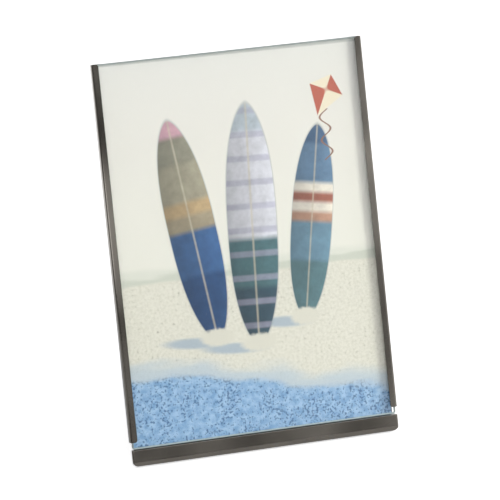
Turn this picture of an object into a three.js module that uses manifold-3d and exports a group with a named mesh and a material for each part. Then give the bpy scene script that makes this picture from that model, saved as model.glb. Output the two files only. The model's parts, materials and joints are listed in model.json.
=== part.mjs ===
// Slide-in photo frame: one folded steel tray holds a glass pane, a print and a backing card.
// The tray leans back on a folding easel leg. Millimetres, +Z up, the front faces -Y.
// The origin lies under the middle of the whole frame, on the surface that it stands on.
import * as THREE from 'three';
import { mergeVertices } from 'three/addons/utils/BufferGeometryUtils.js';
import Module from 'manifold-3d';

const wasm = await Module();
wasm.setup();

// Print: the sheet that the frame is made for.
const PRINT_WIDTH = 127;
const PRINT_HEIGHT = 178.8;
const PRINT_THICKNESS = 0.25;
const PRINT_SLIP = THREE.MathUtils.degToRad(0.35);
const PRINT_RISE = 0.35;

// Glass pane, with its edges ground round like a pencil.
const GLASS_THICKNESS = 2;
const GLASS_SIDE_MARGIN = 1.1;
const GLASS_TOP_MARGIN = 0.55;
const GLASS_CORNER_RADIUS = 1.2;
const GLASS_EDGE_ROUND = 0.75;

// Backing card.
const CARD_THICKNESS = 0.8;
const CARD_SIDE_INSET = 0.2;
const CARD_TOP_RISE = 0.25;

// Clearances between the pieces in the pocket.
const LAYER_GAP = 0.25;
const POCKET_SIDE_GAP = 0.25;
const SEAT_GAP = 0.3;

// Tray: folded sheet steel with two side channels and a rolled foot.
const SHEET = 0.5;
const FRONT_BEND_RADIUS = 1;
const BACK_BEND_RADIUS = 1.6;
const LIP_WIDTH = 3.3;
const LIP_CORNER_RADIUS = 1.1;
const FOOT_HEIGHT = 7.9;
const FOOT_NOSE_HEIGHT = 2.6;
const FOOT_TOP_RADIUS = 0.3;
const FOOT_CORNER_RADIUS = 3.2;
const FOOT_END_RADIUS = 0.8;
const FOOT_END_SWEEP = 4.2;
const FOOT_END_INSET = 0.2;
const FOOT_SEAM_GAP = 0.3;
const SLOT_HEIGHT = 3.7;
const SLOT_DEPTH = 2.4;
const PANEL_TOP_DROP = 7;
const PANEL_TOP_SHOULDER = 5;
const PANEL_TOP_RADIUS = 3;

// Stance.
const LEAN = THREE.MathUtils.degToRad(20.5);
const LEG_OPEN = THREE.MathUtils.degToRad(33);
const FOOT_LIFT = 0.6;

// Hinge bracket, riveted to the back panel.
const HINGE_HEIGHT = 125;
const HINGE_OFFSET = 5.4;
const BRACKET_SHEET = 1;
const BRACKET_BEND_RADIUS = 1.6;
const BRACKET_LENGTH = 34;
const BRACKET_GAP = 0.3;
const EAR_RADIUS = 4;
const EAR_BASE_LENGTH = 16;
const RIVET_EAR_DISTANCE = 5;
const RIVET_END_DISTANCE = 5;
const RIVET_SHANK_RADIUS = 1.2;
const RIVET_HEAD_RADIUS = 2.3;
const RIVET_HEAD_HEIGHT = 0.9;
const RIVET_HOLE_GAP = 0.3;

// Hinge pin and washers.
const PIN_RADIUS = 1.5;
const PIN_GAP = 0.1;
const PIN_HEAD_RADIUS = 2.6;
const PIN_HEAD_HEIGHT = 1;
const PIN_END_GAP = 0.3;
const WASHER_RADIUS = 3.1;
const WASHER_THICKNESS = 0.6;
const WASHER_GAP = 0.2;

// Easel leg: a channel of sheet steel, open towards the tray.
const LEG_SHEET = 0.8;
const LEG_WIDTH = 26;
const LEG_BEND_RADIUS = 1.4;
const LEG_WEB_OFFSET = 2.4;
const LEG_FLANGE_REACH = 3.2;
const TONGUE_WIDTH = 11;
const STOP_GAP = 0.3;

// Rubber tip of the leg, and rubber wedges under the rolled foot.
const TIP_WALL = 1.4;
const TIP_LENGTH = 10;
const TIP_SOLE = 3;
const TIP_GAP = 0.3;
const RUBBER_BEVEL = 0.5;
const PAD_LENGTH = 16;
const PAD_DEPTH = 5;
const PAD_HEIGHT = 4.2;
const PAD_SETBACK = 1.3;
const PAD_SIDE_INSET = 12;
const PAD_GAP = 0.3;

const BEND_STEPS = 5;
const ROUND_STEPS = 40;
const CUT_OVERRUN = 1;

// Sizes that follow from the ones above.
const GLASS_WIDTH = PRINT_WIDTH + 2 * GLASS_SIDE_MARGIN;
const GLASS_HEIGHT = PRINT_HEIGHT + GLASS_TOP_MARGIN + PRINT_RISE;
const CARD_WIDTH = PRINT_WIDTH - 2 * CARD_SIDE_INSET;
const CARD_HEIGHT = PRINT_HEIGHT + CARD_TOP_RISE;
const TRAY_WIDTH = GLASS_WIDTH + 2 * (POCKET_SIDE_GAP + SHEET);
const GLASS_FRONT = SHEET + LAYER_GAP;
const PRINT_FRONT = GLASS_FRONT + GLASS_THICKNESS + LAYER_GAP;
const CARD_FRONT = PRINT_FRONT + PRINT_THICKNESS + LAYER_GAP;
const PANEL_FRONT = CARD_FRONT + CARD_THICKNESS + LAYER_GAP;
const TRAY_DEPTH = PANEL_FRONT + SHEET;
const GLASS_BOTTOM = FOOT_HEIGHT + SEAT_GAP;
const TRAY_TOP = GLASS_BOTTOM + GLASS_HEIGHT;
const SLOT_TOP = FOOT_HEIGHT + SLOT_HEIGHT;
const FOOT_HALF_LENGTH = TRAY_WIDTH / 2 - FOOT_END_INSET;
const BRACKET_FRONT = TRAY_DEPTH + BRACKET_GAP;
const BRACKET_BACK = BRACKET_FRONT + BRACKET_SHEET;
const HINGE_DEPTH = TRAY_DEPTH + HINGE_OFFSET;
const EAR_INSIDE = LEG_WIDTH / 2 + WASHER_THICKNESS + 2 * WASHER_GAP;
const EAR_OUTSIDE = EAR_INSIDE + BRACKET_SHEET;
const RIVET_ASIDE = EAR_INSIDE - RIVET_EAR_DISTANCE;
const RIVET_ABOVE = BRACKET_LENGTH / 2 - RIVET_END_DISTANCE;
const RIVET_HOLE_RADIUS = RIVET_SHANK_RADIUS + RIVET_HOLE_GAP;
const PIN_HOLE_RADIUS = PIN_RADIUS + PIN_GAP;
const LEG_WEB_BACK = LEG_WEB_OFFSET + LEG_SHEET;
const TONGUE_REACH = HINGE_OFFSET - BRACKET_GAP - BRACKET_SHEET - STOP_GAP;
const TONGUE_LENGTH = (TONGUE_REACH + LEG_WEB_OFFSET * Math.cos(LEG_OPEN)) / Math.sin(LEG_OPEN);

// The ground, seen in the tray's own leaning plane: depth is y and height is z.
const down = new THREE.Vector2(Math.sin(LEAN), -Math.cos(LEAN));
const along = new THREE.Vector2(Math.cos(LEAN), Math.sin(LEAN));
const noseReach = Math.hypot(TRAY_DEPTH / 2 * down.x, FOOT_NOSE_HEIGHT * down.y);
const nosePoint = new THREE.Vector2(
  TRAY_DEPTH / 2 + (TRAY_DEPTH / 2) ** 2 * down.x / noseReach,
  FOOT_NOSE_HEIGHT + FOOT_NOSE_HEIGHT ** 2 * down.y / noseReach,
);
const GROUND = nosePoint.dot(down) + FOOT_LIFT;

// The ground, seen in the leg's plane from the hinge pin.
const LEG_LEAN = LEG_OPEN - LEAN;
const PIN_DROP = GROUND - new THREE.Vector2(HINGE_DEPTH, HINGE_HEIGHT).dot(down);
const groundUnderLeg = (y) => -(PIN_DROP + y * Math.sin(LEG_LEAN)) / Math.cos(LEG_LEAN);
const LEG_END = groundUnderLeg(LEG_WEB_BACK) + TIP_SOLE;

const gunmetal = new THREE.MeshStandardMaterial({ color: 0x55524d, roughness: 0.4, metalness: 0.85 });
const zinc = new THREE.MeshStandardMaterial({ color: 0xb4b6b8, roughness: 0.35, metalness: 1 });
const rubber = new THREE.MeshStandardMaterial({ color: 0x1d1d1e, roughness: 0.85, metalness: 0 });
const nylon = new THREE.MeshStandardMaterial({ color: 0xe6e2d8, roughness: 0.5, metalness: 0 });
const paper = new THREE.MeshStandardMaterial({ color: 0xd5d9d8, roughness: 0.45, metalness: 0 });
const greyboard = new THREE.MeshStandardMaterial({ color: 0x66665c, roughness: 0.9, metalness: 0 });
const clearGlass = new THREE.MeshStandardMaterial({
  color: 0xdfeeea,
  roughness: 0.04,
  metalness: 0,
  transparent: true,
  opacity: 0.3,
});

const stand = new THREE.Group();
const leaning = new THREE.Group();
leaning.rotation.x = -LEAN;
stand.add(leaning);

const leg = new THREE.Group();
leg.position.set(0, HINGE_DEPTH, HINGE_HEIGHT);
leg.rotation.x = LEG_OPEN;
leaning.add(leg);

function addMesh(parent, name, geometry, material) {
  const mesh = new THREE.Mesh(geometry, material);
  mesh.name = name;
  parent.add(mesh);
  return mesh;
}

function toSolid(geometry) {
  const bare = geometry.clone();
  bare.deleteAttribute('normal');
  bare.deleteAttribute('uv');
  const merged = mergeVertices(bare, 1e-5);
  return new wasm.Manifold(new wasm.Mesh({
    numProp: 3,
    vertProperties: new Float32Array(merged.attributes.position.array),
    triVerts: new Uint32Array(merged.index.array),
  }));
}

function toGeometry(solid) {
  const mesh = solid.getMesh();
  const geometry = new THREE.BufferGeometry();
  geometry.setAttribute('position', new THREE.BufferAttribute(mesh.vertProperties, 3));
  geometry.setIndex(new THREE.BufferAttribute(mesh.triVerts, 1));
  return geometry;
}

// Extrudes a shape drawn in x and y upwards, from z = low to z = high.
function extrudeUp(shape, low, high) {
  const settings = { depth: high - low, bevelEnabled: false, curveSegments: BEND_STEPS };
  return new THREE.ExtrudeGeometry(shape, settings).translate(0, 0, low);
}

// Extrudes a shape drawn in y and z sideways, from x = left to x = right.
function extrudeAcross(shape, left, right, bevel = 0) {
  const settings = {
    depth: right - left - 2 * bevel,
    bevelEnabled: bevel > 0,
    bevelSize: bevel,
    bevelThickness: bevel,
    bevelOffset: -bevel,
    bevelSegments: 2,
    curveSegments: 2 * BEND_STEPS,
  };
  const turned = new THREE.Matrix4().makeBasis(
    new THREE.Vector3(0, 1, 0),
    new THREE.Vector3(0, 0, 1),
    new THREE.Vector3(1, 0, 0),
  );
  return new THREE.ExtrudeGeometry(shape, settings).applyMatrix4(turned).translate(left + bevel, 0, 0);
}

// Extrudes a shape drawn in x and z backwards, from y = front to y = back.
function extrudeBack(shape, front, back, bevel = 0) {
  const settings = {
    depth: back - front - 2 * bevel,
    bevelEnabled: bevel > 0,
    bevelSize: bevel,
    bevelThickness: bevel,
    bevelOffset: -bevel,
    bevelSegments: 3,
    curveSegments: BEND_STEPS,
  };
  return new THREE.ExtrudeGeometry(shape, settings).rotateX(Math.PI / 2).translate(0, back - bevel, 0);
}

function box(xLow, xHigh, yLow, yHigh, zLow, zHigh) {
  const geometry = new THREE.BoxGeometry(xHigh - xLow, yHigh - yLow, zHigh - zLow);
  return geometry.translate((xLow + xHigh) / 2, (yLow + yHigh) / 2, (zLow + zHigh) / 2);
}

// A cylinder along y, for a hole through the back panel or the bracket.
function holeBack(radius, x, z, front, back) {
  const geometry = new THREE.CylinderGeometry(radius, radius, back - front, ROUND_STEPS);
  return geometry.translate(x, (front + back) / 2, z);
}

// A cylinder along x, for a hole through ears or flanges.
function holeAcross(radius, y, z, halfLength) {
  const geometry = new THREE.CylinderGeometry(radius, radius, 2 * halfLength, ROUND_STEPS);
  return geometry.rotateZ(Math.PI / 2).translate(0, y, z);
}

// A rectangle with round corners, whose high corners may have a radius of their own.
function roundedRectangle(left, right, low, high, radius, highRadius = radius) {
  const shape = new THREE.Shape();
  shape.moveTo(left + radius, low);
  shape.lineTo(right - radius, low);
  shape.absarc(right - radius, low + radius, radius, -Math.PI / 2, 0);
  shape.lineTo(right, high - highRadius);
  shape.absarc(right - highRadius, high - highRadius, highRadius, 0, Math.PI / 2);
  shape.lineTo(left + highRadius, high);
  shape.absarc(left + highRadius, high - highRadius, highRadius, Math.PI / 2, Math.PI);
  shape.lineTo(left, low + radius);
  shape.absarc(left + radius, low + radius, radius, Math.PI, 1.5 * Math.PI);
  return shape;
}

// Rivet centres in x and z, as the bracket and the back panel share them.
function rivetCentres() {
  const centres = [];
  for (const up of [1, -1]) {
    for (const side of [-1, 1]) {
      centres.push([side * RIVET_ASIDE, HINGE_HEIGHT + up * RIVET_ABOVE]);
    }
  }
  return centres;
}

// Cross-section of the tray above the slots, drawn in x and depth.
function traySection() {
  const half = TRAY_WIDTH / 2;
  const front = FRONT_BEND_RADIUS;
  const frontX = half - front;
  const back = BACK_BEND_RADIUS;
  const backX = half - back;
  const backY = TRAY_DEPTH - back;
  const quarter = Math.PI / 2;
  const shape = new THREE.Shape();
  shape.moveTo(half - LIP_WIDTH, 0);
  shape.lineTo(frontX, 0);
  shape.absarc(frontX, front, front, -quarter, 0);
  shape.lineTo(half, backY);
  shape.absarc(backX, backY, back, 0, quarter);
  shape.lineTo(-backX, TRAY_DEPTH);
  shape.absarc(-backX, backY, back, quarter, 2 * quarter);
  shape.lineTo(-half, front);
  shape.absarc(-frontX, front, front, 2 * quarter, 3 * quarter);
  shape.lineTo(LIP_WIDTH - half, 0);
  shape.lineTo(LIP_WIDTH - half, SHEET);
  shape.lineTo(-frontX, SHEET);
  shape.absarc(-frontX, front, front - SHEET, -quarter, -2 * quarter, true);
  shape.lineTo(SHEET - half, backY);
  shape.absarc(-backX, backY, back - SHEET, 2 * quarter, quarter, true);
  shape.lineTo(backX, PANEL_FRONT);
  shape.absarc(backX, backY, back - SHEET, quarter, 0, true);
  shape.lineTo(half - SHEET, front);
  shape.absarc(frontX, front, front - SHEET, 0, -quarter, true);
  shape.lineTo(half - LIP_WIDTH, SHEET);
  shape.closePath();
  return shape;
}

// Outline of the rolled foot in depth and height, shrunk by inset or grown by a negative one.
function footSection(inset, topRadius) {
  const middle = TRAY_DEPTH / 2;
  const shape = new THREE.Shape();
  shape.moveTo(TRAY_DEPTH - inset, FOOT_HEIGHT - inset);
  shape.lineTo(inset + topRadius, FOOT_HEIGHT - inset);
  if (topRadius > 0) {
    shape.absarc(inset + topRadius, FOOT_HEIGHT - inset - topRadius, topRadius, Math.PI / 2, Math.PI);
  }
  shape.lineTo(inset, FOOT_NOSE_HEIGHT);
  shape.absellipse(middle, FOOT_NOSE_HEIGHT, middle - inset, FOOT_NOSE_HEIGHT - inset, Math.PI, 2 * Math.PI);
  shape.closePath();
  return shape;
}

// The foot as a full form, shrunk by inset: round lower corners, and ends that sweep in towards the back.
function footForm(inset, topRadius) {
  const half = FOOT_HALF_LENGTH - inset;
  const above = FOOT_HEIGHT + FOOT_CORNER_RADIUS;
  const back = TRAY_DEPTH - inset;
  const front = roundedRectangle(-half, half, inset, above, FOOT_CORNER_RADIUS - inset);
  const plan = roundedRectangle(-half, half, inset, back, FOOT_END_RADIUS - inset, FOOT_END_SWEEP - inset);
  const roll = toSolid(extrudeAcross(footSection(inset, topRadius), -half, half));
  const rounded = roll.intersect(toSolid(extrudeBack(front, -CUT_OVERRUN, TRAY_DEPTH + CUT_OVERRUN)));
  return rounded.intersect(toSolid(extrudeUp(plan, -CUT_OVERRUN, above)));
}

// The rolled foot: a closed tube of sheet with folded ends and an open seam behind the glass.
function rolledFoot() {
  const endInside = FOOT_HALF_LENGTH - SHEET;
  const skin = footForm(0, FOOT_TOP_RADIUS);
  const hollow = footForm(SHEET, 0);
  const front = PANEL_FRONT - FOOT_SEAM_GAP;
  const low = FOOT_HEIGHT - 2 * SHEET;
  const high = FOOT_HEIGHT + CUT_OVERRUN;
  const seam = toSolid(box(-endInside, endInside, front, PANEL_FRONT, low, high));
  return skin.subtract(hollow).subtract(seam);
}

// Takes the square inner corner off a lip end. side is -1 or 1, up is 1 at the top of the tray.
function lipCornerCut(side, up, lipEnd) {
  const edge = side * (TRAY_WIDTH / 2 - LIP_WIDTH);
  const shape = new THREE.Shape();
  shape.moveTo(edge - side * CUT_OVERRUN, lipEnd + up * CUT_OVERRUN);
  shape.lineTo(edge - side * CUT_OVERRUN, lipEnd - up * LIP_CORNER_RADIUS);
  shape.lineTo(edge, lipEnd - up * LIP_CORNER_RADIUS);
  const cornerX = edge + side * LIP_CORNER_RADIUS;
  const cornerZ = lipEnd - up * LIP_CORNER_RADIUS;
  const start = side > 0 ? Math.PI : 0;
  const end = up > 0 ? Math.PI / 2 : -Math.PI / 2 + (side > 0 ? 2 * Math.PI : 0);
  shape.absarc(cornerX, cornerZ, LIP_CORNER_RADIUS, start, end, side * up > 0);
  shape.lineTo(cornerX, lipEnd + up * CUT_OVERRUN);
  shape.closePath();
  return toSolid(extrudeBack(shape, -CUT_OVERRUN, SHEET + LAYER_GAP / 2));
}

// The back panel stops short at the top, so that the insert can be gripped.
function panelTopCut() {
  const half = TRAY_WIDTH / 2 - PANEL_TOP_SHOULDER;
  const low = TRAY_TOP - PANEL_TOP_DROP;
  const shape = roundedRectangle(-half, half, low, TRAY_TOP + 2 * PANEL_TOP_RADIUS, PANEL_TOP_RADIUS);
  return toSolid(extrudeBack(shape, PANEL_FRONT - LAYER_GAP / 2, TRAY_DEPTH + CUT_OVERRUN));
}

function frameTray() {
  const panelHalf = TRAY_WIDTH / 2 - SLOT_DEPTH;
  const channels = toSolid(extrudeUp(traySection(), SLOT_TOP, TRAY_TOP));
  const panelHigh = SLOT_TOP + SHEET;
  const joining = toSolid(box(-panelHalf, panelHalf, PANEL_FRONT, TRAY_DEPTH, FOOT_NOSE_HEIGHT, panelHigh));
  let tray = channels.add(joining).add(rolledFoot()).subtract(panelTopCut());
  for (const side of [-1, 1]) {
    tray = tray.subtract(lipCornerCut(side, 1, TRAY_TOP)).subtract(lipCornerCut(side, -1, SLOT_TOP));
  }
  for (const [x, z] of rivetCentres()) {
    tray = tray.subtract(toSolid(holeBack(RIVET_HOLE_RADIUS, x, z, PANEL_FRONT - CUT_OVERRUN, BRACKET_BACK)));
  }
  addMesh(leaning, 'frame_tray', toGeometry(tray), gunmetal);
}

function glassPane() {
  const half = GLASS_WIDTH / 2;
  const shape = roundedRectangle(-half, half, GLASS_BOTTOM, TRAY_TOP, GLASS_CORNER_RADIUS);
  const pane = extrudeBack(shape, GLASS_FRONT, GLASS_FRONT + GLASS_THICKNESS, GLASS_EDGE_ROUND);
  addMesh(leaning, 'glass_pane', toGeometry(toSolid(pane)), clearGlass);
}

function photoPrint() {
  const print = addMesh(
    leaning,
    'photo_print',
    new THREE.BoxGeometry(PRINT_WIDTH, PRINT_THICKNESS, PRINT_HEIGHT),
    paper,
  );
  print.position.set(0, PRINT_FRONT + PRINT_THICKNESS / 2, GLASS_BOTTOM + PRINT_RISE + PRINT_HEIGHT / 2);
  print.rotation.y = PRINT_SLIP;
}

function backingCard() {
  const card = addMesh(
    leaning,
    'backing_card',
    new THREE.BoxGeometry(CARD_WIDTH, CARD_THICKNESS, CARD_HEIGHT),
    greyboard,
  );
  card.position.set(0, CARD_FRONT + CARD_THICKNESS / 2, GLASS_BOTTOM + CARD_HEIGHT / 2);
}

// A channel section in x and depth: web between two arms that reach to armEnd.
function channelSection(halfWidth, sheet, bend, web, armEnd) {
  const toArms = Math.sign(armEnd - web);
  const inner = bend - sheet;
  const centreY = web + toArms * bend;
  const quarter = Math.PI / 2;
  const clockwise = toArms > 0;
  const turn = clockwise ? -1 : 1;
  const shape = new THREE.Shape();
  shape.moveTo(halfWidth, armEnd);
  shape.lineTo(halfWidth, centreY);
  shape.absarc(halfWidth - bend, centreY, bend, 0, turn * quarter, clockwise);
  shape.lineTo(bend - halfWidth, web);
  shape.absarc(bend - halfWidth, centreY, bend, turn * quarter, turn * 2 * quarter, clockwise);
  shape.lineTo(-halfWidth, armEnd);
  shape.lineTo(sheet - halfWidth, armEnd);
  shape.lineTo(sheet - halfWidth, centreY);
  shape.absarc(bend - halfWidth, centreY, inner, turn * 2 * quarter, turn * quarter, !clockwise);
  shape.lineTo(halfWidth - bend, web + toArms * sheet);
  shape.absarc(halfWidth - bend, centreY, inner, turn * quarter, 0, !clockwise);
  shape.lineTo(halfWidth - sheet, armEnd);
  shape.closePath();
  return shape;
}

// Side outline of the bracket: a flat base, with an ear that tapers to a round end at the pin.
function bracketSideOutline() {
  const baseBack = BRACKET_FRONT + BRACKET_BEND_RADIUS;
  const half = BRACKET_LENGTH / 2;
  const shape = new THREE.Shape();
  shape.moveTo(BRACKET_FRONT - CUT_OVERRUN, HINGE_HEIGHT - half);
  shape.lineTo(baseBack, HINGE_HEIGHT - half);
  shape.lineTo(baseBack, HINGE_HEIGHT - EAR_BASE_LENGTH / 2);
  shape.lineTo(HINGE_DEPTH, HINGE_HEIGHT - EAR_RADIUS);
  shape.absarc(HINGE_DEPTH, HINGE_HEIGHT, EAR_RADIUS, -Math.PI / 2, Math.PI / 2);
  shape.lineTo(baseBack, HINGE_HEIGHT + EAR_BASE_LENGTH / 2);
  shape.lineTo(baseBack, HINGE_HEIGHT + half);
  shape.lineTo(BRACKET_FRONT - CUT_OVERRUN, HINGE_HEIGHT + half);
  shape.closePath();
  return shape;
}

function hingeBracket() {
  const earEnd = HINGE_DEPTH + EAR_RADIUS;
  const section = channelSection(EAR_OUTSIDE, BRACKET_SHEET, BRACKET_BEND_RADIUS, BRACKET_FRONT, earEnd);
  const low = HINGE_HEIGHT - BRACKET_LENGTH / 2;
  const folded = toSolid(extrudeUp(section, low, low + BRACKET_LENGTH));
  const outside = EAR_OUTSIDE + CUT_OVERRUN;
  const outline = toSolid(extrudeAcross(bracketSideOutline(), -outside, outside));
  let bracket = folded.intersect(outline);
  bracket = bracket.subtract(toSolid(holeAcross(PIN_HOLE_RADIUS, HINGE_DEPTH, HINGE_HEIGHT, outside)));
  for (const [x, z] of rivetCentres()) {
    const hole = holeBack(RIVET_HOLE_RADIUS, x, z, BRACKET_FRONT - CUT_OVERRUN, BRACKET_BACK + CUT_OVERRUN);
    bracket = bracket.subtract(toSolid(hole));
  }
  addMesh(leaning, 'hinge_bracket', toGeometry(bracket), gunmetal);
}

// A domed rivet along y: its head sits on the bracket, its end is flush inside the panel.
function rivetProfile() {
  const headBase = BRACKET_BACK + RIVET_HOLE_GAP / 2;
  const points = [
    new THREE.Vector2(0, PANEL_FRONT),
    new THREE.Vector2(RIVET_SHANK_RADIUS, PANEL_FRONT),
    new THREE.Vector2(RIVET_SHANK_RADIUS, headBase),
    new THREE.Vector2(RIVET_HEAD_RADIUS, headBase),
  ];
  const steps = 6;
  for (let i = 1; i < steps; i += 1) {
    const turn = Math.PI / 2 * i / steps;
    const radius = RIVET_HEAD_RADIUS * Math.cos(turn);
    points.push(new THREE.Vector2(radius, headBase + RIVET_HEAD_HEIGHT * Math.sin(turn)));
  }
  points.push(new THREE.Vector2(0, headBase + RIVET_HEAD_HEIGHT));
  return points;
}

function bracketRivets() {
  rivetCentres().forEach(([x, z], i) => {
    const lathe = new THREE.LatheGeometry(rivetProfile(), ROUND_STEPS / 2);
    const rivet = addMesh(leaning, `bracket_rivet_${i + 1}`, toGeometry(toSolid(lathe)), zinc);
    rivet.position.set(x, 0, z);
  });
}

// The pin lies along x: one domed head, and the other end peened over.
function hingePin() {
  const reach = EAR_OUTSIDE + PIN_END_GAP;
  const points = [
    new THREE.Vector2(0, -reach - PIN_HEAD_HEIGHT),
    new THREE.Vector2(0.6 * PIN_HEAD_RADIUS, -reach - 0.8 * PIN_HEAD_HEIGHT),
    new THREE.Vector2(PIN_HEAD_RADIUS, -reach - 0.3 * PIN_HEAD_HEIGHT),
    new THREE.Vector2(PIN_HEAD_RADIUS, -reach),
    new THREE.Vector2(PIN_RADIUS, -reach),
    new THREE.Vector2(PIN_RADIUS, reach),
    new THREE.Vector2(0.9 * PIN_HEAD_RADIUS, reach),
    new THREE.Vector2(0.9 * PIN_HEAD_RADIUS, reach + 0.3 * PIN_HEAD_HEIGHT),
    new THREE.Vector2(0.5 * PIN_HEAD_RADIUS, reach + 0.7 * PIN_HEAD_HEIGHT),
    new THREE.Vector2(0, reach + 0.7 * PIN_HEAD_HEIGHT),
  ];
  const lathe = new THREE.LatheGeometry(points, ROUND_STEPS);
  const pin = addMesh(leaning, 'hinge_pin', toGeometry(toSolid(lathe)), zinc);
  pin.rotation.z = -Math.PI / 2;
  pin.position.set(0, HINGE_DEPTH, HINGE_HEIGHT);
}

function hingeWasher(side, name) {
  const inside = LEG_WIDTH / 2 + WASHER_GAP;
  const points = [
    new THREE.Vector2(PIN_HOLE_RADIUS, inside),
    new THREE.Vector2(WASHER_RADIUS, inside),
    new THREE.Vector2(WASHER_RADIUS, inside + WASHER_THICKNESS),
    new THREE.Vector2(PIN_HOLE_RADIUS, inside + WASHER_THICKNESS),
    new THREE.Vector2(PIN_HOLE_RADIUS, inside),
  ];
  const ring = toGeometry(toSolid(new THREE.LatheGeometry(points, ROUND_STEPS)));
  const washer = addMesh(leaning, name, ring, nylon);
  washer.rotation.z = -side * Math.PI / 2;
  washer.position.set(0, HINGE_DEPTH, HINGE_HEIGHT);
}

// What is cut from the leg above the pin, beside the tongue: all but a round flange end.
function flangeTopCut() {
  const reach = LEG_FLANGE_REACH + CUT_OVERRUN;
  const high = TONGUE_LENGTH + CUT_OVERRUN;
  const shape = new THREE.Shape();
  shape.moveTo(-reach, 0);
  shape.lineTo(-LEG_FLANGE_REACH, 0);
  shape.absarc(0, 0, LEG_FLANGE_REACH, Math.PI, 0, true);
  shape.lineTo(reach, 0);
  shape.lineTo(reach, high);
  shape.lineTo(-reach, high);
  shape.closePath();
  return shape;
}

function easelLeg() {
  const half = LEG_WIDTH / 2;
  const section = channelSection(half, LEG_SHEET, LEG_BEND_RADIUS, LEG_WEB_BACK, -LEG_FLANGE_REACH);
  let body = toSolid(extrudeUp(section, LEG_END, TONGUE_LENGTH));
  const outside = half + CUT_OVERRUN;
  body = body.subtract(toSolid(extrudeAcross(flangeTopCut(), TONGUE_WIDTH / 2, outside)));
  body = body.subtract(toSolid(extrudeAcross(flangeTopCut(), -outside, -TONGUE_WIDTH / 2)));
  body = body.subtract(toSolid(holeAcross(PIN_HOLE_RADIUS, 0, 0, outside)));
  addMesh(leg, 'easel_leg', toGeometry(body), gunmetal);
}

// The rubber cap: its sole lies flat on the ground, and its pocket takes the end of the leg.
function legTip() {
  const front = -LEG_FLANGE_REACH - TIP_GAP - TIP_WALL;
  const back = LEG_WEB_BACK + TIP_GAP + TIP_WALL;
  const top = LEG_END + TIP_LENGTH;
  const half = LEG_WIDTH / 2 + TIP_GAP + TIP_WALL;
  const shape = new THREE.Shape();
  shape.moveTo(front, groundUnderLeg(front));
  shape.lineTo(back, groundUnderLeg(back));
  shape.lineTo(back, top);
  shape.lineTo(front, top);
  shape.closePath();
  const block = toSolid(extrudeAcross(shape, -half, half, RUBBER_BEVEL));
  const pocket = channelSection(
    LEG_WIDTH / 2 + TIP_GAP,
    LEG_SHEET + 2 * TIP_GAP,
    LEG_BEND_RADIUS + TIP_GAP,
    LEG_WEB_BACK + TIP_GAP,
    -LEG_FLANGE_REACH - TIP_GAP,
  );
  const cut = toSolid(extrudeUp(pocket, LEG_END - TIP_GAP, top + CUT_OVERRUN));
  addMesh(leg, 'leg_tip', toGeometry(block.subtract(cut)), rubber);
}

// A rubber wedge between the round back of the rolled foot and the ground.
function footPad(side, name) {
  const contact = nosePoint.clone().addScaledVector(down, FOOT_LIFT);
  const corner = (forward, up) => contact.clone().addScaledVector(along, forward).addScaledVector(down, -up);
  const shape = new THREE.Shape([
    corner(PAD_SETBACK, 0),
    corner(PAD_SETBACK + PAD_DEPTH, 0),
    corner(PAD_SETBACK + PAD_DEPTH, PAD_HEIGHT),
    corner(PAD_SETBACK, PAD_HEIGHT),
  ]);
  const outer = side * (TRAY_WIDTH / 2 - PAD_SIDE_INSET);
  const inner = outer - side * PAD_LENGTH;
  const left = Math.min(inner, outer);
  const right = left + PAD_LENGTH;
  const block = toSolid(extrudeAcross(shape, left, right, RUBBER_BEVEL));
  const roll = toSolid(extrudeAcross(footSection(-PAD_GAP, 0), left - CUT_OVERRUN, right + CUT_OVERRUN));
  addMesh(leaning, name, toGeometry(block.subtract(roll)), rubber);
}

frameTray();
glassPane();
photoPrint();
backingCard();
hingeBracket();
bracketRivets();
hingePin();
hingeWasher(-1, 'hinge_washer_left');
hingeWasher(1, 'hinge_washer_right');
easelLeg();
legTip();
footPad(-1, 'foot_pad_left');
footPad(1, 'foot_pad_right');

// Stand the frame on the ground, with the origin under its middle.
const extent = new THREE.Box3().setFromObject(stand, true);
const middle = extent.getCenter(new THREE.Vector3());
stand.position.set(-middle.x, -middle.y, GROUND);

const photoFrame = new THREE.Group();
photoFrame.add(stand);

export default photoFrame;
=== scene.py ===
# %% [markdown]
# # A slide-in photo frame, dressed in Blender
# The real object is one folded sheet of gunmetal-finished steel. Two narrow side lips hold a glass
# pane, and the bottom edge is rolled into a foot. A print and a backing card stand behind the
# glass, and an easel leg on the back holds the frame at a slant. The exact shapes come from the
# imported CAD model. This lesson gives each piece its rounded edges and its finish, and lights it.

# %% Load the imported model
import json
import math

import bmesh
import bpy
from mathutils import Matrix, Vector


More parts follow.
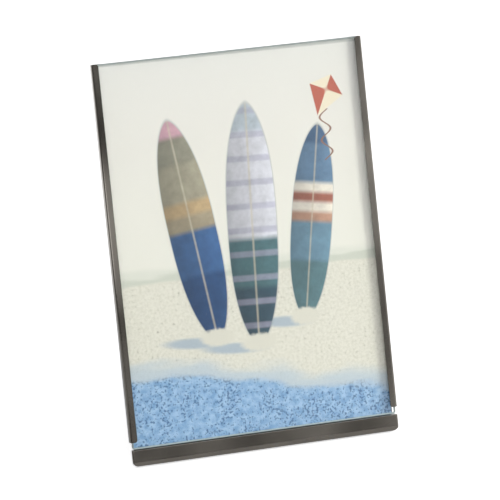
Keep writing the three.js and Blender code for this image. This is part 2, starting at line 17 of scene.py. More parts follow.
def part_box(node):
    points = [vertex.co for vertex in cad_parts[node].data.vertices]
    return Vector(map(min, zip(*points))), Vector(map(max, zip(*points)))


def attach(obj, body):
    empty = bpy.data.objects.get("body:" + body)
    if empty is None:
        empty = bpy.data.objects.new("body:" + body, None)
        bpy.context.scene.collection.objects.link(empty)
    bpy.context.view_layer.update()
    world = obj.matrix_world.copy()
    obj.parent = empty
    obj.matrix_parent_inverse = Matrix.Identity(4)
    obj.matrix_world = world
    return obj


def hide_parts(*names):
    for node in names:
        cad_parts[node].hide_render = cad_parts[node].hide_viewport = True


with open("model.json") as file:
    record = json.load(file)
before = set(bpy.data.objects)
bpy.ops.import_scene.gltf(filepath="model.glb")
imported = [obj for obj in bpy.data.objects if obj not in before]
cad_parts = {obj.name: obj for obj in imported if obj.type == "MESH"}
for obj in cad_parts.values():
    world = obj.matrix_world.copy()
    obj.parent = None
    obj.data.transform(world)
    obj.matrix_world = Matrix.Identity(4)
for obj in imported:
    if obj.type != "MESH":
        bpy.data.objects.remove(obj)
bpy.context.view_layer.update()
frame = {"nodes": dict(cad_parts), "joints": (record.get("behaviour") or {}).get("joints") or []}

# %% [markdown]
# ## Where the frame leans
# The glass slides out along the slant, so the axis of its joint is the slant itself. Every pattern
# on the print is drawn in the print's own upright plane, so the slant is worked out once here.

# %% Measure the slant
MM = 0.001
slide_axis = Vector(next(j["axis"] for j in frame["joints"] if j["name"] == "glass_slide"))
LEAN = math.atan2(slide_axis.y, slide_axis.z)
leaning_plane = Matrix.Rotation(-LEAN, 3, "X")
pane_front = leaning_plane @ Vector((0, -1, 0))
pane_up = leaning_plane @ Vector((0, 0, 1))
print(f"the frame leans back {math.degrees(LEAN):.1f} degrees")


def middle_of(node):
    """The middle of a CAD piece, in metres."""
    low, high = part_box(node)
    return (low + high) / 2


# %% [markdown]
# ## The camera
# The straight edges of the frame fix the view: they meet so late that the camera stood 1.6 m away
# with a long lens, a little to the left and a little above. A long lens keeps sides nearly parallel.

# %% Place the camera
CAMERA_LEFT = math.radians(16.74)
CAMERA_ABOVE = math.radians(24.61)
CAMERA_DISTANCE = 1.639
CAMERA_LENS = 252.8
AIM_RIGHT = 1.45 * MM
AIM_DOWN = 3.75 * MM
LIP_TO_PANE_MIDDLE = 1.75 * MM

towards_camera = Vector((
    -math.sin(CAMERA_LEFT) * math.cos(CAMERA_ABOVE),
    -math.cos(CAMERA_LEFT) * math.cos(CAMERA_ABOVE),
    math.sin(CAMERA_ABOVE),
))
camera_right = Vector((math.cos(CAMERA_LEFT), -math.sin(CAMERA_LEFT), 0))
camera_up = towards_camera.cross(camera_right)
pane_middle = middle_of("glass_pane") + pane_front * LIP_TO_PANE_MIDDLE
aim = pane_middle + camera_right * AIM_RIGHT - camera_up * AIM_DOWN

camera_data = bpy.data.cameras.new("camera")
camera_data.lens = CAMERA_LENS
camera_data.sensor_width = 36
camera_data.clip_start = 0.05
camera_data.clip_end = 50
camera = bpy.data.objects.new("camera", camera_data)
bpy.context.scene.collection.objects.link(camera)
camera.matrix_world = Matrix.Translation(aim + towards_camera * CAMERA_DISTANCE) @ Matrix((
    camera_right, camera_up, towards_camera,
)).transposed().to_4x4()
bpy.context.scene.camera = camera
print("camera at", [round(v, 3) for v in camera.location])

# %% [markdown]
# ## Two helpers for materials
# Colours are easiest to pick as sRGB hex, but a shader mixes linear light, so one function turns
# one into the other. The other adds a node: its own settings come by name, and what goes into its
# sockets comes as a table. A number or colour there is a plain value. A socket of another node
# makes a link, and a whole node stands for the first output that it shows.

# %% Colour and node helpers


def linear(hex_colour):
    """An sRGB hex colour as the linear RGBA that a shader works with."""
    channels = [int(hex_colour[i:i + 2], 16) / 255 for i in (1, 3, 5)]
    return tuple(c / 12.92 if c <= 0.04045 else ((c + 0.055) / 1.055) ** 2.4 for c in channels) + (1,)


def add_node(tree, kind, sockets=None, **settings):
    """Adds one shader node to a tree, with its settings, and fills its sockets."""
    node = tree.nodes.new("ShaderNode" + kind)
    for name, value in settings.items():
        setattr(node, name, value)
    for name, value in (sockets or {}).items():
        if isinstance(value, bpy.types.Node):
            value = next(output for output in value.outputs if output.enabled)
        if isinstance(value, bpy.types.NodeSocket):
            tree.links.new(value, node.inputs[name])
        else:
            node.inputs[name].default_value = value
    return node


def new_material(name):
    """An empty node material, its tree, and the place of every point on the piece, in metres."""
    material = bpy.data.materials.new(name)
    material.use_nodes = True
    material.node_tree.nodes.clear()
    place = add_node(material.node_tree, "TexCoord").outputs["Object"]
    return material, material.node_tree, place


def set_ramp(ramp, stops):
    """Gives a colour ramp its stops: pairs of a position and a hex colour, from low to high."""
    while len(ramp.elements) < len(stops):
        ramp.elements.new(1.0)
    for element, (position, colour) in zip(ramp.elements, stops):
        element.position = position
        element.color = linear(colour)


# %% [markdown]
# ## Pieces with real edges
# A CAD solid has knife-sharp edges, and real sheet metal never has: the eye reads a thin bright
# line along each edge. Moving the CAD mesh isn't allowed, so each piece is a copy. Its triangles
# are merged into flat faces, its edges get a small bevel, and only its gentle bends shade smoothly.

# %% A helper that dresses a CAD piece
SAME_PLACE = 0.000002
SAME_PLANE = math.radians(0.4)
SOFT_BEND = math.radians(25)
HARD_CORNER = math.radians(45)
EDGE_SEGMENTS = 2


def dressed(node, name, body, edge_mm, material):
    """Makes a piece from a CAD node, with rounded edges and a finish, to show in its place."""
    shape = bmesh.new()
    shape.from_mesh(frame["nodes"][node].data)
    bmesh.ops.remove_doubles(shape, verts=shape.verts, dist=SAME_PLACE)
    bmesh.ops.dissolve_limit(shape, angle_limit=SAME_PLANE, verts=shape.verts, edges=shape.edges)
    bmesh.ops.recalc_face_normals(shape, faces=shape.faces)
    for face in shape.faces:
        face.smooth = True
    mesh = bpy.data.meshes.new(name)
    shape.to_mesh(mesh)
    shape.free()
    mesh.materials.append(material)
    piece = bpy.data.objects.new(name, mesh)
    bpy.context.scene.collection.objects.link(piece)
    if edge_mm:
        bevel = piece.modifiers.new("rounded_edges", "BEVEL")
        bevel.width = edge_mm * MM
        bevel.segments = EDGE_SEGMENTS
        bevel.limit_method = "ANGLE"
        bevel.angle_limit = SOFT_BEND
        bevel.use_clamp_overlap = True
    mesh.set_sharp_from_angle(angle=HARD_CORNER)
    weighted = piece.modifiers.new("flat_faces_stay_flat", "WEIGHTED_NORMAL")
    weighted.keep_sharp = True
    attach(piece, body)
    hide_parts(node)
    print(f"{name}: {len(mesh.polygons)} faces, edges rounded {edge_mm} mm")


# %% [markdown]
# ## Satin gunmetal on folded steel
# The sheet is plated dark, blasted fine and lacquered, which leaves a warm grey metal with a soft
# sheen. A flat dark metal would do from afar, but the real finish has three more things. Folding
# leaves a long slow bow in a rail, so light swells and fades along it. A fine grain blurs what it
# reflects, and handling leaves faint cloudy patches. Besides, a thin dark line is painted along every
# edge of the sheet: painted shade, as in the narrow gaps where the sheet meets the glass.

# %% Gunmetal
GRAIN_MM = 0.35
CLOUD_MM = 24
BOW_LENGTH_MM = 118
BOW_DEPTH_MM = 2.4
BOW_STEEPEST_MM = 106
BOW_STARTS_MM = 10
DENT_MM = 46
DENT_DEPTH_MM = 3.0
# How far from an edge the painted shade reaches.
EDGE_SHADE_MM = 0.35
SHEET_EDGE_MM = 0.12


def sheet_waves(tree, place):
    """How far the sheet lies off flat, in millimetres: one long bow, and random shallow dents."""
    height = add_node(tree, "SeparateXYZ", {"Vector": place}).outputs["Z"]
    # The rolled foot is too stiff to bow, so the wave starts above it.
    height = add_node(tree, "Math", {0: height, 1: BOW_STARTS_MM * MM}, operation="MAXIMUM")
    turn = 2 * math.pi / BOW_LENGTH_MM
    phase = add_node(tree, "Math", {
        0: height, 1: turn / MM, 2: -turn * BOW_STEEPEST_MM,
    }, operation="MULTIPLY_ADD")
    bow = add_node(tree, "Math", {0: phase}, operation="SINE")
    bow = add_node(tree, "Math", {0: bow, 1: -BOW_DEPTH_MM}, operation="MULTIPLY")
    dents = add_node(tree, "TexNoise", {"Vector": place, "Scale": 1 / (DENT_MM * MM), "Detail": 0})
    return add_node(tree, "Math", {0: dents, 1: DENT_DEPTH_MM, 2: bow}, operation="MULTIPLY_ADD")


def satin_gunmetal():
    """Gunmetal-plated steel, fine-blasted and lacquered: dark, warm, softly reflecting."""
    material, tree, place = new_material("gunmetal_plated_steel_lacquered")
    # The real grain is about 0.1 mm. It is drawn 0.35 mm coarse, or it would not show.
    grain = add_node(tree, "TexNoise", {"Vector": place, "Scale": 1 / (GRAIN_MM * MM), "Detail": 2})
    clouds = add_node(tree, "TexNoise", {"Vector": place, "Scale": 1 / (CLOUD_MM * MM), "Detail": 4})
    plating = add_node(tree, "ValToRGB", {"Fac": clouds})
    set_ramp(plating.color_ramp, [(0.3, "#6f6a63"), (0.7, "#7d7870")])
    # Painted shade: near every edge the colour darkens to a thin dark line.
    rounded = add_node(tree, "Bevel", {"Radius": EDGE_SHADE_MM * MM}, samples=4)
    flat = add_node(tree, "NewGeometry")
    agree = add_node(tree, "VectorMath", {0: rounded, 1: flat.outputs["Normal"]}, operation="DOT_PRODUCT")
    painted_edge_tone = add_node(tree, "MapRange", {
        "Value": agree, "From Min": 0.98, "From Max": 0.8, "To Min": 0.0, "To Max": 0.7,
    })
    colour = add_node(tree, "Mix", {"Factor": painted_edge_tone, "A": plating, "B": linear("#2e2b28")}, data_type="RGBA")
    polish = add_node(tree, "MapRange", {
        "Value": clouds, "From Min": 0.3, "From Max": 0.7, "To Min": 0.21, "To Max": 0.27,
    })
    wavy = add_node(tree, "Bump", {"Height": sheet_waves(tree, place), "Strength": 1.0, "Distance": MM})
    grainy = add_node(tree, "Bump", {
        "Height": grain, "Strength": 0.12, "Distance": 0.02 * MM, "Normal": wavy,
    })
    shader = add_node(tree, "BsdfPrincipled", {
        "Base Color": colour,
        "Metallic": 1.0,
        "Roughness": polish,
        "Normal": grainy,
        "Coat Weight": 0.7,
        "Coat Roughness": 0.16,
        "Coat IOR": 1.5,
        "Coat Normal": wavy,
    })
    add_node(tree, "OutputMaterial", {"Surface": shader})
    return material


gunmetal = satin_gunmetal()
dressed("frame_tray", "folded_tray", "frame", SHEET_EDGE_MM, gunmetal)
dressed("hinge_bracket", "folded_bracket", "frame", SHEET_EDGE_MM, gunmetal)
dressed("easel_leg", "channel_leg", "leg", SHEET_EDGE_MM, gunmetal)

# %% [markdown]
# ## Zinc on the rivets and the hinge pin
# Small fasteners are zinc plated, brighter and bluer than the sheet, with a spangle of tiny
# crystals. A cell pattern gives the crystals, each a slightly different grey.

# %% Zinc plate
SPANGLE_MM = 0.7
RIVET_EDGE_MM = 0.1
PIN_EDGE_MM = 0.12


def zinc_plate():
    """Zinc-plated steel, bright with a fine spangle."""
    material, tree, place = new_material("zinc_plated_steel_barrelled")
    cells = add_node(tree, "TexVoronoi", {"Vector": place, "Scale": 1 / (SPANGLE_MM * MM)})
    spangle = add_node(tree, "Mix", {
        "Factor": cells.outputs["Color"], "A": linear("#b3b6b9"), "B": linear("#cfd2d4"),
    }, data_type="RGBA")
    dull = add_node(tree, "MapRange", {"Value": cells.outputs["Distance"], "To Min": 0.24, "To Max": 0.36})
    shader = add_node(tree, "BsdfPrincipled", {"Base Color": spangle, "Metallic": 1.0, "Roughness": dull})
    add_node(tree, "OutputMaterial", {"Surface": shader})
    return material


zinc = zinc_plate()
for number in range(1, 5):
    dressed(f"bracket_rivet_{number}", f"domed_rivet_{number}", "frame", RIVET_EDGE_MM, zinc)
dressed("hinge_pin", "riveted_pin", "frame", PIN_EDGE_MM, zinc)

# %% [markdown]
# ## Nylon washers
# Nylon lets a little light in under its skin, so it looks milky rather than painted. A weak
# subsurface does that, and a fine mottle stands for the moulded surface.

# %% Nylon
MOTTLE_MM = 1.5
WASHER_EDGE_MM = 0.08


def moulded_nylon():
    """Natural nylon, moulded: milky, with a dull sheen."""
    material, tree, place = new_material("natural_nylon_moulded")
    mottle = add_node(tree, "TexNoise", {"Vector": place, "Scale": 1 / (MOTTLE_MM * MM), "Detail": 3})
    colour = add_node(tree, "Mix", {
        "Factor": mottle, "A": linear("#ddd8cb"), "B": linear("#ece8dd"),
    }, data_type="RGBA")
    bump = add_node(tree, "Bump", {"Height": mottle, "Strength": 0.15, "Distance": 0.05 * MM})
    shader = add_node(tree, "BsdfPrincipled", {
        "Base Color": colour,
        "Roughness": 0.45,
        "IOR": 1.53,
        "Subsurface Weight": 0.15,
        "Subsurface Scale": 0.5 * MM,
        "Normal": bump,
    })
    add_node(tree, "OutputMaterial", {"Surface": shader})
    return material


nylon = moulded_nylon()
for side in ("left", "right"):
    dressed(f"hinge_washer_{side}", f"washer_{side}", "frame", WASHER_EDGE_MM, nylon)

# %% [markdown]
# ## Rubber under the foot and on the leg
# Rubber is nearly black and scatters what light it returns. Dust sticks in its pores, so the grain
# has a few paler specks, and the moulded edges are rounder than any metal edge here.

# %% Rubber
PORE_MM = 0.5
TIP_EDGE_MM = 0.3
PAD_EDGE_MM = 0.2


def moulded_rubber():
    """Black rubber, moulded: matt and finely pored, with a trace of dust."""
    material, tree, place = new_material("black_rubber_moulded")
    pores = add_node(tree, "TexNoise", {"Vector": place, "Scale": 1 / (PORE_MM * MM), "Detail": 5})
    dust = add_node(tree, "ValToRGB", {"Fac": pores})
    set_ramp(dust.color_ramp, [(0.45, "#1b1b1c"), (0.75, "#3a3937")])
    bump = add_node(tree, "Bump", {"Height": pores, "Strength": 0.35, "Distance": 0.08 * MM})
    shader = add_node(tree, "BsdfPrincipled", {
        "Base Color": dust, "Roughness": 0.78, "IOR": 1.52, "Normal": bump,
    })
    add_node(tree, "OutputMaterial", {"Surface": shader})
    return material


rubber = moulded_rubber()
dressed("leg_tip", "rubber_tip", "leg", TIP_EDGE_MM, rubber)
for side in ("left", "right"):
    dressed(f"foot_pad_{side}", f"rubber_wedge_{side}", "frame", PAD_EDGE_MM, rubber)

# %% [markdown]
# ## Clear float glass
# Float glass is clear face on and sea-green edge on, because iron in it soaks up red over a long
# path. So the tint is an absorption inside the glass, and its faces are colourless. The edges are
# ground round and matt, and look grey. The bottom one is painted pale in its colour: a painted
# highlight for the light that runs down inside the pane. Light from lamps would stop at a bending
# surface, so shadow rays see a plain clear sheet instead.

# %% Glass
GLASS_IOR = 1.52
IRON_DENSITY = 9.0
HAZE_MM = 30
# How a normal lies to the pane's front where a face ends, and to its up side where the bottom starts.
FACE_ENDS = 0.98
BOTTOM_STARTS = -0.2
GROUND_ROUGHNESS = 0.4
GROUND_CLEARNESS = 0.25


def float_glass():
    """Float glass with ground edges: clear through its faces, matt and grey along its edges."""
    material, tree, place = new_material("float_glass_ground_edges")
    fingerprints = add_node(tree, "TexNoise", {"Vector": place, "Scale": 1 / (HAZE_MM * MM), "Detail": 3})
    haze = add_node(tree, "MapRange", {
        "Value": fingerprints, "From Min": 0.45, "From Max": 0.8, "To Min": 0.0, "To Max": 0.03,
    })
    normal = add_node(tree, "NewGeometry").outputs["True Normal"]
    facing = add_node(tree, "VectorMath", {0: normal, 1: pane_front}, operation="DOT_PRODUCT")
    rising = add_node(tree, "VectorMath", {0: normal, 1: pane_up}, operation="DOT_PRODUCT")
    edge = add_node(tree, "Math", {
        0: add_node(tree, "Math", {0: facing}, operation="ABSOLUTE"), 1: FACE_ENDS,
    }, operation="LESS_THAN")
    # Painted highlight: the bottom edge is coloured pale, for the light that runs down inside the pane.
    painted_highlight_bottom = add_node(tree, "Math", {0: rising, 1: BOTTOM_STARTS}, operation="LESS_THAN")
    painted_edge_tone = add_node(tree, "Mix", {
        "Factor": painted_highlight_bottom, "A": linear("#a0aaa8"), "B": linear("#e0f2f5"),
    }, data_type="RGBA")
    tint = add_node(tree, "Mix", {"Factor": edge, "A": (1, 1, 1, 1), "B": painted_edge_tone}, data_type="RGBA")
    ground = add_node(tree, "Mix", {"Factor": edge, "A": haze, "B": GROUND_ROUGHNESS})
    clear = add_node(tree, "Mix", {"Factor": edge, "A": 1.0, "B": GROUND_CLEARNESS})
    bending = add_node(tree, "BsdfPrincipled", {
        "Base Color": tint, "Roughness": ground, "IOR": GLASS_IOR, "Transmission Weight": clear,
    })
    passing = add_node(tree, "BsdfTransparent", {"Color": (0.94, 0.96, 0.95, 1)})
    ray = add_node(tree, "LightPath")
    shader = add_node(tree, "MixShader", {0: ray.outputs["Is Shadow Ray"], 1: bending, 2: passing})
    inside = add_node(tree, "VolumeAbsorption", {"Color": linear("#a9d6d2"), "Density": IRON_DENSITY})
    add_node(tree, "OutputMaterial", {"Surface": shader, "Volume": inside})
    return material


dressed("glass_pane", "glass_sheet", "glass", 0, float_glass())

# %% [markdown]
# ## Grey board behind the print
# The card is pressed from waste paper: grey, with long pale and dark fibres. A noise that is
# stretched along the card makes the fibres.

# %% Grey board
FIBRE_MM = 0.4
FIBRE_STRETCH = 0.25


def pressed_greyboard():
    """Grey board, pressed from pulp: matt and fibrous."""
    material, tree, place = new_material("greyboard_pressed_pulp")
    along = add_node(tree, "Mapping", {"Vector": place, "Scale": (1, 1, FIBRE_STRETCH)})
    fibres = add_node(tree, "TexNoise", {
        "Vector": along, "Scale": 1 / (FIBRE_MM * MM), "Detail": 6, "Roughness": 0.7,
    })
    pulp = add_node(tree, "ValToRGB", {"Fac": fibres})
    set_ramp(pulp.color_ramp, [(0.3, "#5b5a50"), (0.7, "#76746a")])
    bump = add_node(tree, "Bump", {"Height": fibres, "Strength": 0.3, "Distance": 0.05 * MM})
    shader = add_node(tree, "BsdfPrincipled", {
        "Base Color": pulp, "Roughness": 0.9, "IOR": 1.5, "Normal": bump,
    })
    add_node(tree, "OutputMaterial", {"Surface": shader})
    return material


card = frame["nodes"]["backing_card"]
card.material_slots[0].material = pressed_greyboard()
print("backing card dressed in place")

# %% [markdown]
# ## The print: a day at the beach
# The sheet that comes in such a frame is a bright, washed-out summer picture. This one is a design
# of our own: surfboards that stand in the sand, a kite, dunes far off, and a blue tide in front.
# A picture file isn't needed. Each motif is a small formula in the print's own millimetres, and a
# mix node lays one over the other, back to front, as a screen printer lays inks.

# %% The plane of the print
PRINT_SLIP = math.radians(0.35)
print_turn = (leaning_plane @ Matrix.Rotation(PRINT_SLIP, 3, "Y")).to_euler("XYZ")


def print_plane(tree, place):
    """Millimetres on the print: x to the right, z upwards, from the middle of the sheet."""
    return add_node(tree, "Mapping", {
        "Vector": place,
        "Location": middle_of("photo_print"),
        "Rotation": print_turn,
        "Scale": (MM, MM, MM),
    }, vector_type="TEXTURE")


# %% [markdown]
# Two helpers draw every motif. The first moves the plane onto a motif, so that the motif always
# spans -1 to 1. The second lays a colour over what is there, where a value falls below an edge,
# with the slightly soft edge of an ink-jet dot.

# %% Helpers for motifs


def on_motif(tree, plane, x, z, tilt, half_width, half_height):
    """x and z on one motif, each from -1 to 1 across it."""
    local = add_node(tree, "Mapping", {
        "Vector": plane,
        "Location": (x, 0, z),
        "Rotation": (0, math.radians(tilt), 0),
        "Scale": (half_width, 1, half_height),
    }, vector_type="TEXTURE")
    parts = add_node(tree, "SeparateXYZ", {"Vector": local})
    return parts.outputs["X"], parts.outputs["Z"]


def laid_over(tree, below, colour, value, edge, softness, strength=1.0):
    """Lays a colour over what is below, where value is less than edge."""
    mask = add_node(tree, "MapRange", {
        "Value": value, "From Min": edge + softness, "From Max": edge - softness,
        "To Min": 0.0, "To Max": strength,
    }, interpolation_type="SMOOTHSTEP")
    return add_node(tree, "Mix", {"Factor": mask, "A": below, "B": colour}, data_type="RGBA")


# %% [markdown]
# The background comes first: a pale warm sky under a thin grey border, hazy dunes on the horizon,
# bleached sand, and the tide. Edges between them wander, so each height is first pushed up or down
# by a soft noise.

# %% Sky, dunes, sand and tide
SHEET_TOP = 89.4
HORIZON = -10.0
TIDE_LINE = -66.0
BEACH_SLOPE = 0.16
SAND_SPECK_MM = 1.3
PEBBLE_MM = 1.15
PEBBLE_CLUSTER_MM = 11.0
RIPPLE_MM = 3.0
DRIFT_STRETCH = 0.35


def wandering(tree, plane, height, scale_mm, reach_mm):
    """The height above the middle of the print, moved by a noise of the given size and reach."""
    flat = add_node(tree, "Mapping", {"Vector": plane, "Scale": (DRIFT_STRETCH, 1, 1)})
    noise = add_node(tree, "TexNoise", {"Vector": flat, "Scale": 1 / scale_mm, "Detail": 4})
    shift = add_node(tree, "MapRange", {"Value": noise, "To Min": -reach_mm, "To Max": reach_mm})
    return add_node(tree, "Math", {0: height, 1: shift}, operation="ADD")


def tide(tree, plane):
    """Shallow water over dark pebbles: pale blue, with navy specks in loose clusters."""
    ripples = add_node(tree, "TexNoise", {"Vector": plane, "Scale": 1 / RIPPLE_MM, "Detail": 4})
    water = add_node(tree, "ValToRGB", {"Fac": ripples})
    set_ramp(water.color_ramp, [(0.36, "#7ba3cc"), (0.62, "#a3c3e0")])
    specks = add_node(tree, "TexNoise", {"Vector": plane, "Scale": 1 / PEBBLE_MM, "Detail": 2})
    clusters = add_node(tree, "TexNoise", {"Vector": plane, "Scale": 1 / PEBBLE_CLUSTER_MM, "Detail": 1})
    crowd = add_node(tree, "MapRange", {
        "Value": clusters, "From Min": 0.35, "From Max": 0.65, "To Min": -0.05, "To Max": 0.05,
    })
    level = add_node(tree, "Math", {0: specks, 1: crowd}, operation="SUBTRACT")
    return laid_over(tree, water, linear("#3a5f8c"), level, 0.405, 0.045, 0.8)


def beach(tree, plane):
    """The empty beach: everything that lies behind the motifs."""
    axes = add_node(tree, "SeparateXYZ", {"Vector": plane})
    across, height = axes.outputs["X"], axes.outputs["Z"]
    sky_height = add_node(tree, "MapRange", {
        "Value": height, "From Min": HORIZON, "From Max": SHEET_TOP,
    })
    colour = add_node(tree, "ValToRGB", {"Fac": sky_height})
    set_ramp(colour.color_ramp, [
        (0.0, "#e8e6dc"), (0.6, "#e3e0d9"), (0.984, "#dfddd8"), (0.990, "#bdbdb9"),
    ])
    far_dunes = wandering(tree, plane, height, 22, 5)
    colour = laid_over(tree, colour, linear("#dadbd0"), far_dunes, HORIZON + 2.5, 1.6, 0.8)
    near_dunes = wandering(tree, plane, height, 9, 4)
    colour = laid_over(tree, colour, linear("#c4c8ba"), near_dunes, HORIZON - 1.0, 1.0, 0.7)
    grains = add_node(tree, "TexNoise", {"Vector": plane, "Scale": 1 / SAND_SPECK_MM, "Detail": 4})
    sand = add_node(tree, "ValToRGB", {"Fac": grains})
    set_ramp(sand.color_ramp, [(0.24, "#989484"), (0.34, "#d5d2c4"), (0.6, "#e2dfd3")])
    colour = laid_over(tree, colour, sand, wandering(tree, plane, height, 12, 2), HORIZON - 4.5, 0.8)
    slope = add_node(tree, "Math", {0: across, 1: BEACH_SLOPE, 2: height}, operation="MULTIPLY_ADD")
    wash = wandering(tree, plane, slope, 14, 9)
    colour = laid_over(tree, colour, linear("#b4c6d4"), wash, TIDE_LINE + 7, 4.0, 0.7)
    return laid_over(tree, colour, tide(tree, plane), wash, TIDE_LINE, 2.5)


# %% [markdown]
# A surfboard seen from its deck is a long oval with narrow ends: a superellipse, with a power near
# 1.6 across and 2.6 along. Bands of colour cross it, a pale stringer runs down its middle, and its
# right side is brighter because the deck is domed and the sun stands on the right.

# %% Surfboards
SPRAY_BLEND = 0.012
SIDE_POWER = 1.6
END_POWER = 2.6
WEAR_MM = 6.0


def surfboard(tree, plane, below, x, z, tilt, half_width, half_length, bands, stripes):
    """One board that stands in the sand. bands gives its colours from the tail up, stripes may be None."""
    across, along = on_motif(tree, plane, x, z, tilt, half_width, half_length)
    off_middle = add_node(tree, "Math", {0: across}, operation="ABSOLUTE")
    off_centre = add_node(tree, "Math", {0: along}, operation="ABSOLUTE")
    side = add_node(tree, "Math", {0: off_middle, 1: SIDE_POWER}, operation="POWER")
    end = add_node(tree, "Math", {0: off_centre, 1: END_POWER}, operation="POWER")
    outline = add_node(tree, "Math", {0: side, 1: end}, operation="ADD")
    level = add_node(tree, "MapRange", {"Value": along, "From Min": -1.0, "From Max": 1.0})
    deck = add_node(tree, "ValToRGB", {"Fac": level})
    sprayed = [bands[0]]
    for (_, below_colour), (position, colour) in zip(bands, bands[1:]):
        sprayed += [(position - SPRAY_BLEND, below_colour), (position + SPRAY_BLEND, colour)]
    set_ramp(deck.color_ramp, sprayed)
    if stripes:
        turns, stripe_colour = stripes
        phase = add_node(tree, "Math", {0: along, 1: turns}, operation="MULTIPLY")
        wave = add_node(tree, "Math", {0: phase}, operation="SINE")
        deck = laid_over(tree, deck, linear(stripe_colour), wave, -0.7, 0.25, 0.6)
    deck = laid_over(tree, deck, linear("#cfc6b0"), off_middle, 0.04, 0.03, 0.6)
    domed = add_node(tree, "MapRange", {
        "Value": across, "From Min": -1.0, "From Max": 1.0, "To Min": 0.62, "To Max": 1.14,
    })
    worn = add_node(tree, "TexNoise", {
        "Vector": plane, "Scale": 1 / WEAR_MM, "Detail": 8, "Roughness": 0.7,
    })
    mottled = add_node(tree, "MapRange", {
        "Value": worn, "From Min": 0.3, "From Max": 0.7, "To Min": 0.78, "To Max": 1.14,
    })
    light = add_node(tree, "Math", {0: domed, 1: mottled}, operation="MULTIPLY")
    deck = add_node(tree, "Mix", {
        "Factor": 1.0, "A": deck, "B": light,
    }, data_type="RGBA", blend_type="MULTIPLY")
    rim = laid_over(tree, below, linear("#8d9698"), outline, 1.03, 0.05, 0.5)
    return laid_over(tree, rim, deck, outline, 0.98, 0.03)


# %% [markdown]
# A board casts a soft blue-grey shadow on the sand, and a small heap of sand hides its tail. Both
# are ovals: the value that they are laid over by is the distance from their middle.

# %% Shadows and heaps of sand
HEAP_GRAIN_MM = 1.6


def oval_distance(tree, plane, x, z, tilt, half_width, half_height):
    """The distance from the middle of an oval, which is 1 on its rim."""
    across, along = on_motif(tree, plane, x, z, tilt, half_width, half_height)
    spot = add_node(tree, "CombineXYZ", {"X": across, "Y": along})
    return add_node(tree, "VectorMath", {0: spot}, operation="LENGTH")


def sand_shadow(tree, plane, below, x, z, tilt, half_width, half_height):
    """A soft blue-grey shadow on the sand."""
    distance = oval_distance(tree, plane, x, z, tilt, half_width, half_height)
    return laid_over(tree, below, linear("#9fb0c0"), distance, 0.8, 0.3, 0.8)


def sand_heap(tree, plane, below, x, z, half_width, half_height):
    """A small heap of sand that hides the tail of a board."""
    distance = oval_distance(tree, plane, x, z, 0, half_width, half_height)
    rough = add_node(tree, "TexNoise", {"Vector": plane, "Scale": 1 / HEAP_GRAIN_MM, "Detail": 4})
    ragged = add_node(tree, "Math", {0: rough, 1: 0.4, 2: distance}, operation="MULTIPLY_ADD")
    return laid_over(tree, below, linear("#dad7ca"), ragged, 1.1, 0.2)


# %% [markdown]
# The kite is a diamond in four panels: the sign of x times z picks the panel. Its tail is a narrow
# band around a sine curve.

# %% Kite
# How steeply the kite narrows above its spar and below it.
KITE_ABOVE = 1.5
KITE_BELOW = -0.85
TAIL_TURN = 7.0
TAIL_SWING_MM = 2.4
PAST_THE_TAIL = 9.0


def kite(tree, plane, below, x, z, tilt, half_width, half_height, first, second):
    """A diamond kite in four panels of two colours."""
    across, along = on_motif(tree, plane, x, z, tilt, half_width, half_height)
    upper = add_node(tree, "Math", {0: along, 1: KITE_ABOVE}, operation="MULTIPLY")
    lower = add_node(tree, "Math", {0: along, 1: KITE_BELOW}, operation="MULTIPLY")
    reach = add_node(tree, "Math", {0: upper, 1: lower}, operation="MAXIMUM")
    off_middle = add_node(tree, "Math", {0: across}, operation="ABSOLUTE")
    outline = add_node(tree, "Math", {0: off_middle, 1: reach}, operation="ADD")
    panel = add_node(tree, "Math", {0: across, 1: along}, operation="MULTIPLY")
    cloth = laid_over(tree, linear(first), linear(second), panel, 0.0, 0.01)
    return laid_over(tree, below, cloth, outline, 1.0, 0.04)


def kite_tail(tree, plane, below, x, z, length, colour):
    """A ribbon that swings below the kite."""
    across, along = on_motif(tree, plane, x, z - length / 2, 0, 1.0, length / 2)
    phase = add_node(tree, "Math", {0: along, 1: TAIL_TURN}, operation="MULTIPLY")
    swing = add_node(tree, "Math", {0: phase}, operation="SINE")
    middle = add_node(tree, "Math", {0: swing, 1: -TAIL_SWING_MM, 2: across}, operation="MULTIPLY_ADD")
    off_middle = add_node(tree, "Math", {0: middle}, operation="ABSOLUTE")
    off_centre = add_node(tree, "Math", {0: along}, operation="ABSOLUTE")
    beyond = add_node(tree, "Math", {0: off_centre, 1: 1.0}, operation="GREATER_THAN")
    ribbon = add_node(tree, "Math", {0: beyond, 1: PAST_THE_TAIL, 2: off_middle}, operation="MULTIPLY_ADD")
    return laid_over(tree, below, linear(colour), ribbon, 0.5, 0.2)


# %% [markdown]
# The paper itself is semi-gloss on its face and plain white on its back and its cut edges. A test
# on the depth inside the sheet keeps the ink on the face.

# %% Ink the print
INK_DEPTH_MM = -0.1
TOOTH_MM = 0.6
# Below each board: the shadow's and the heap's share of its half width, and their half heights.
SHADOW_SHARE = 1.5
SHADOW_HALF_HEIGHT = 3.0
SHADOW_TILT = 4
HEAP_SHARE = 0.8
HEAP_HALF_HEIGHT = 4.5
HEAP_RISE = 1.5
# The kite: x and z of its middle, tilt, half width, half height, and the colours of its panels.
KITE = (46, 67, 24, 8.5, 11, "#b8604e", "#e9dfc8")
# Its tail: x and z of its upper end, length and colour.
KITE_TAIL = (44, 58, 24, "#8f6d5c")
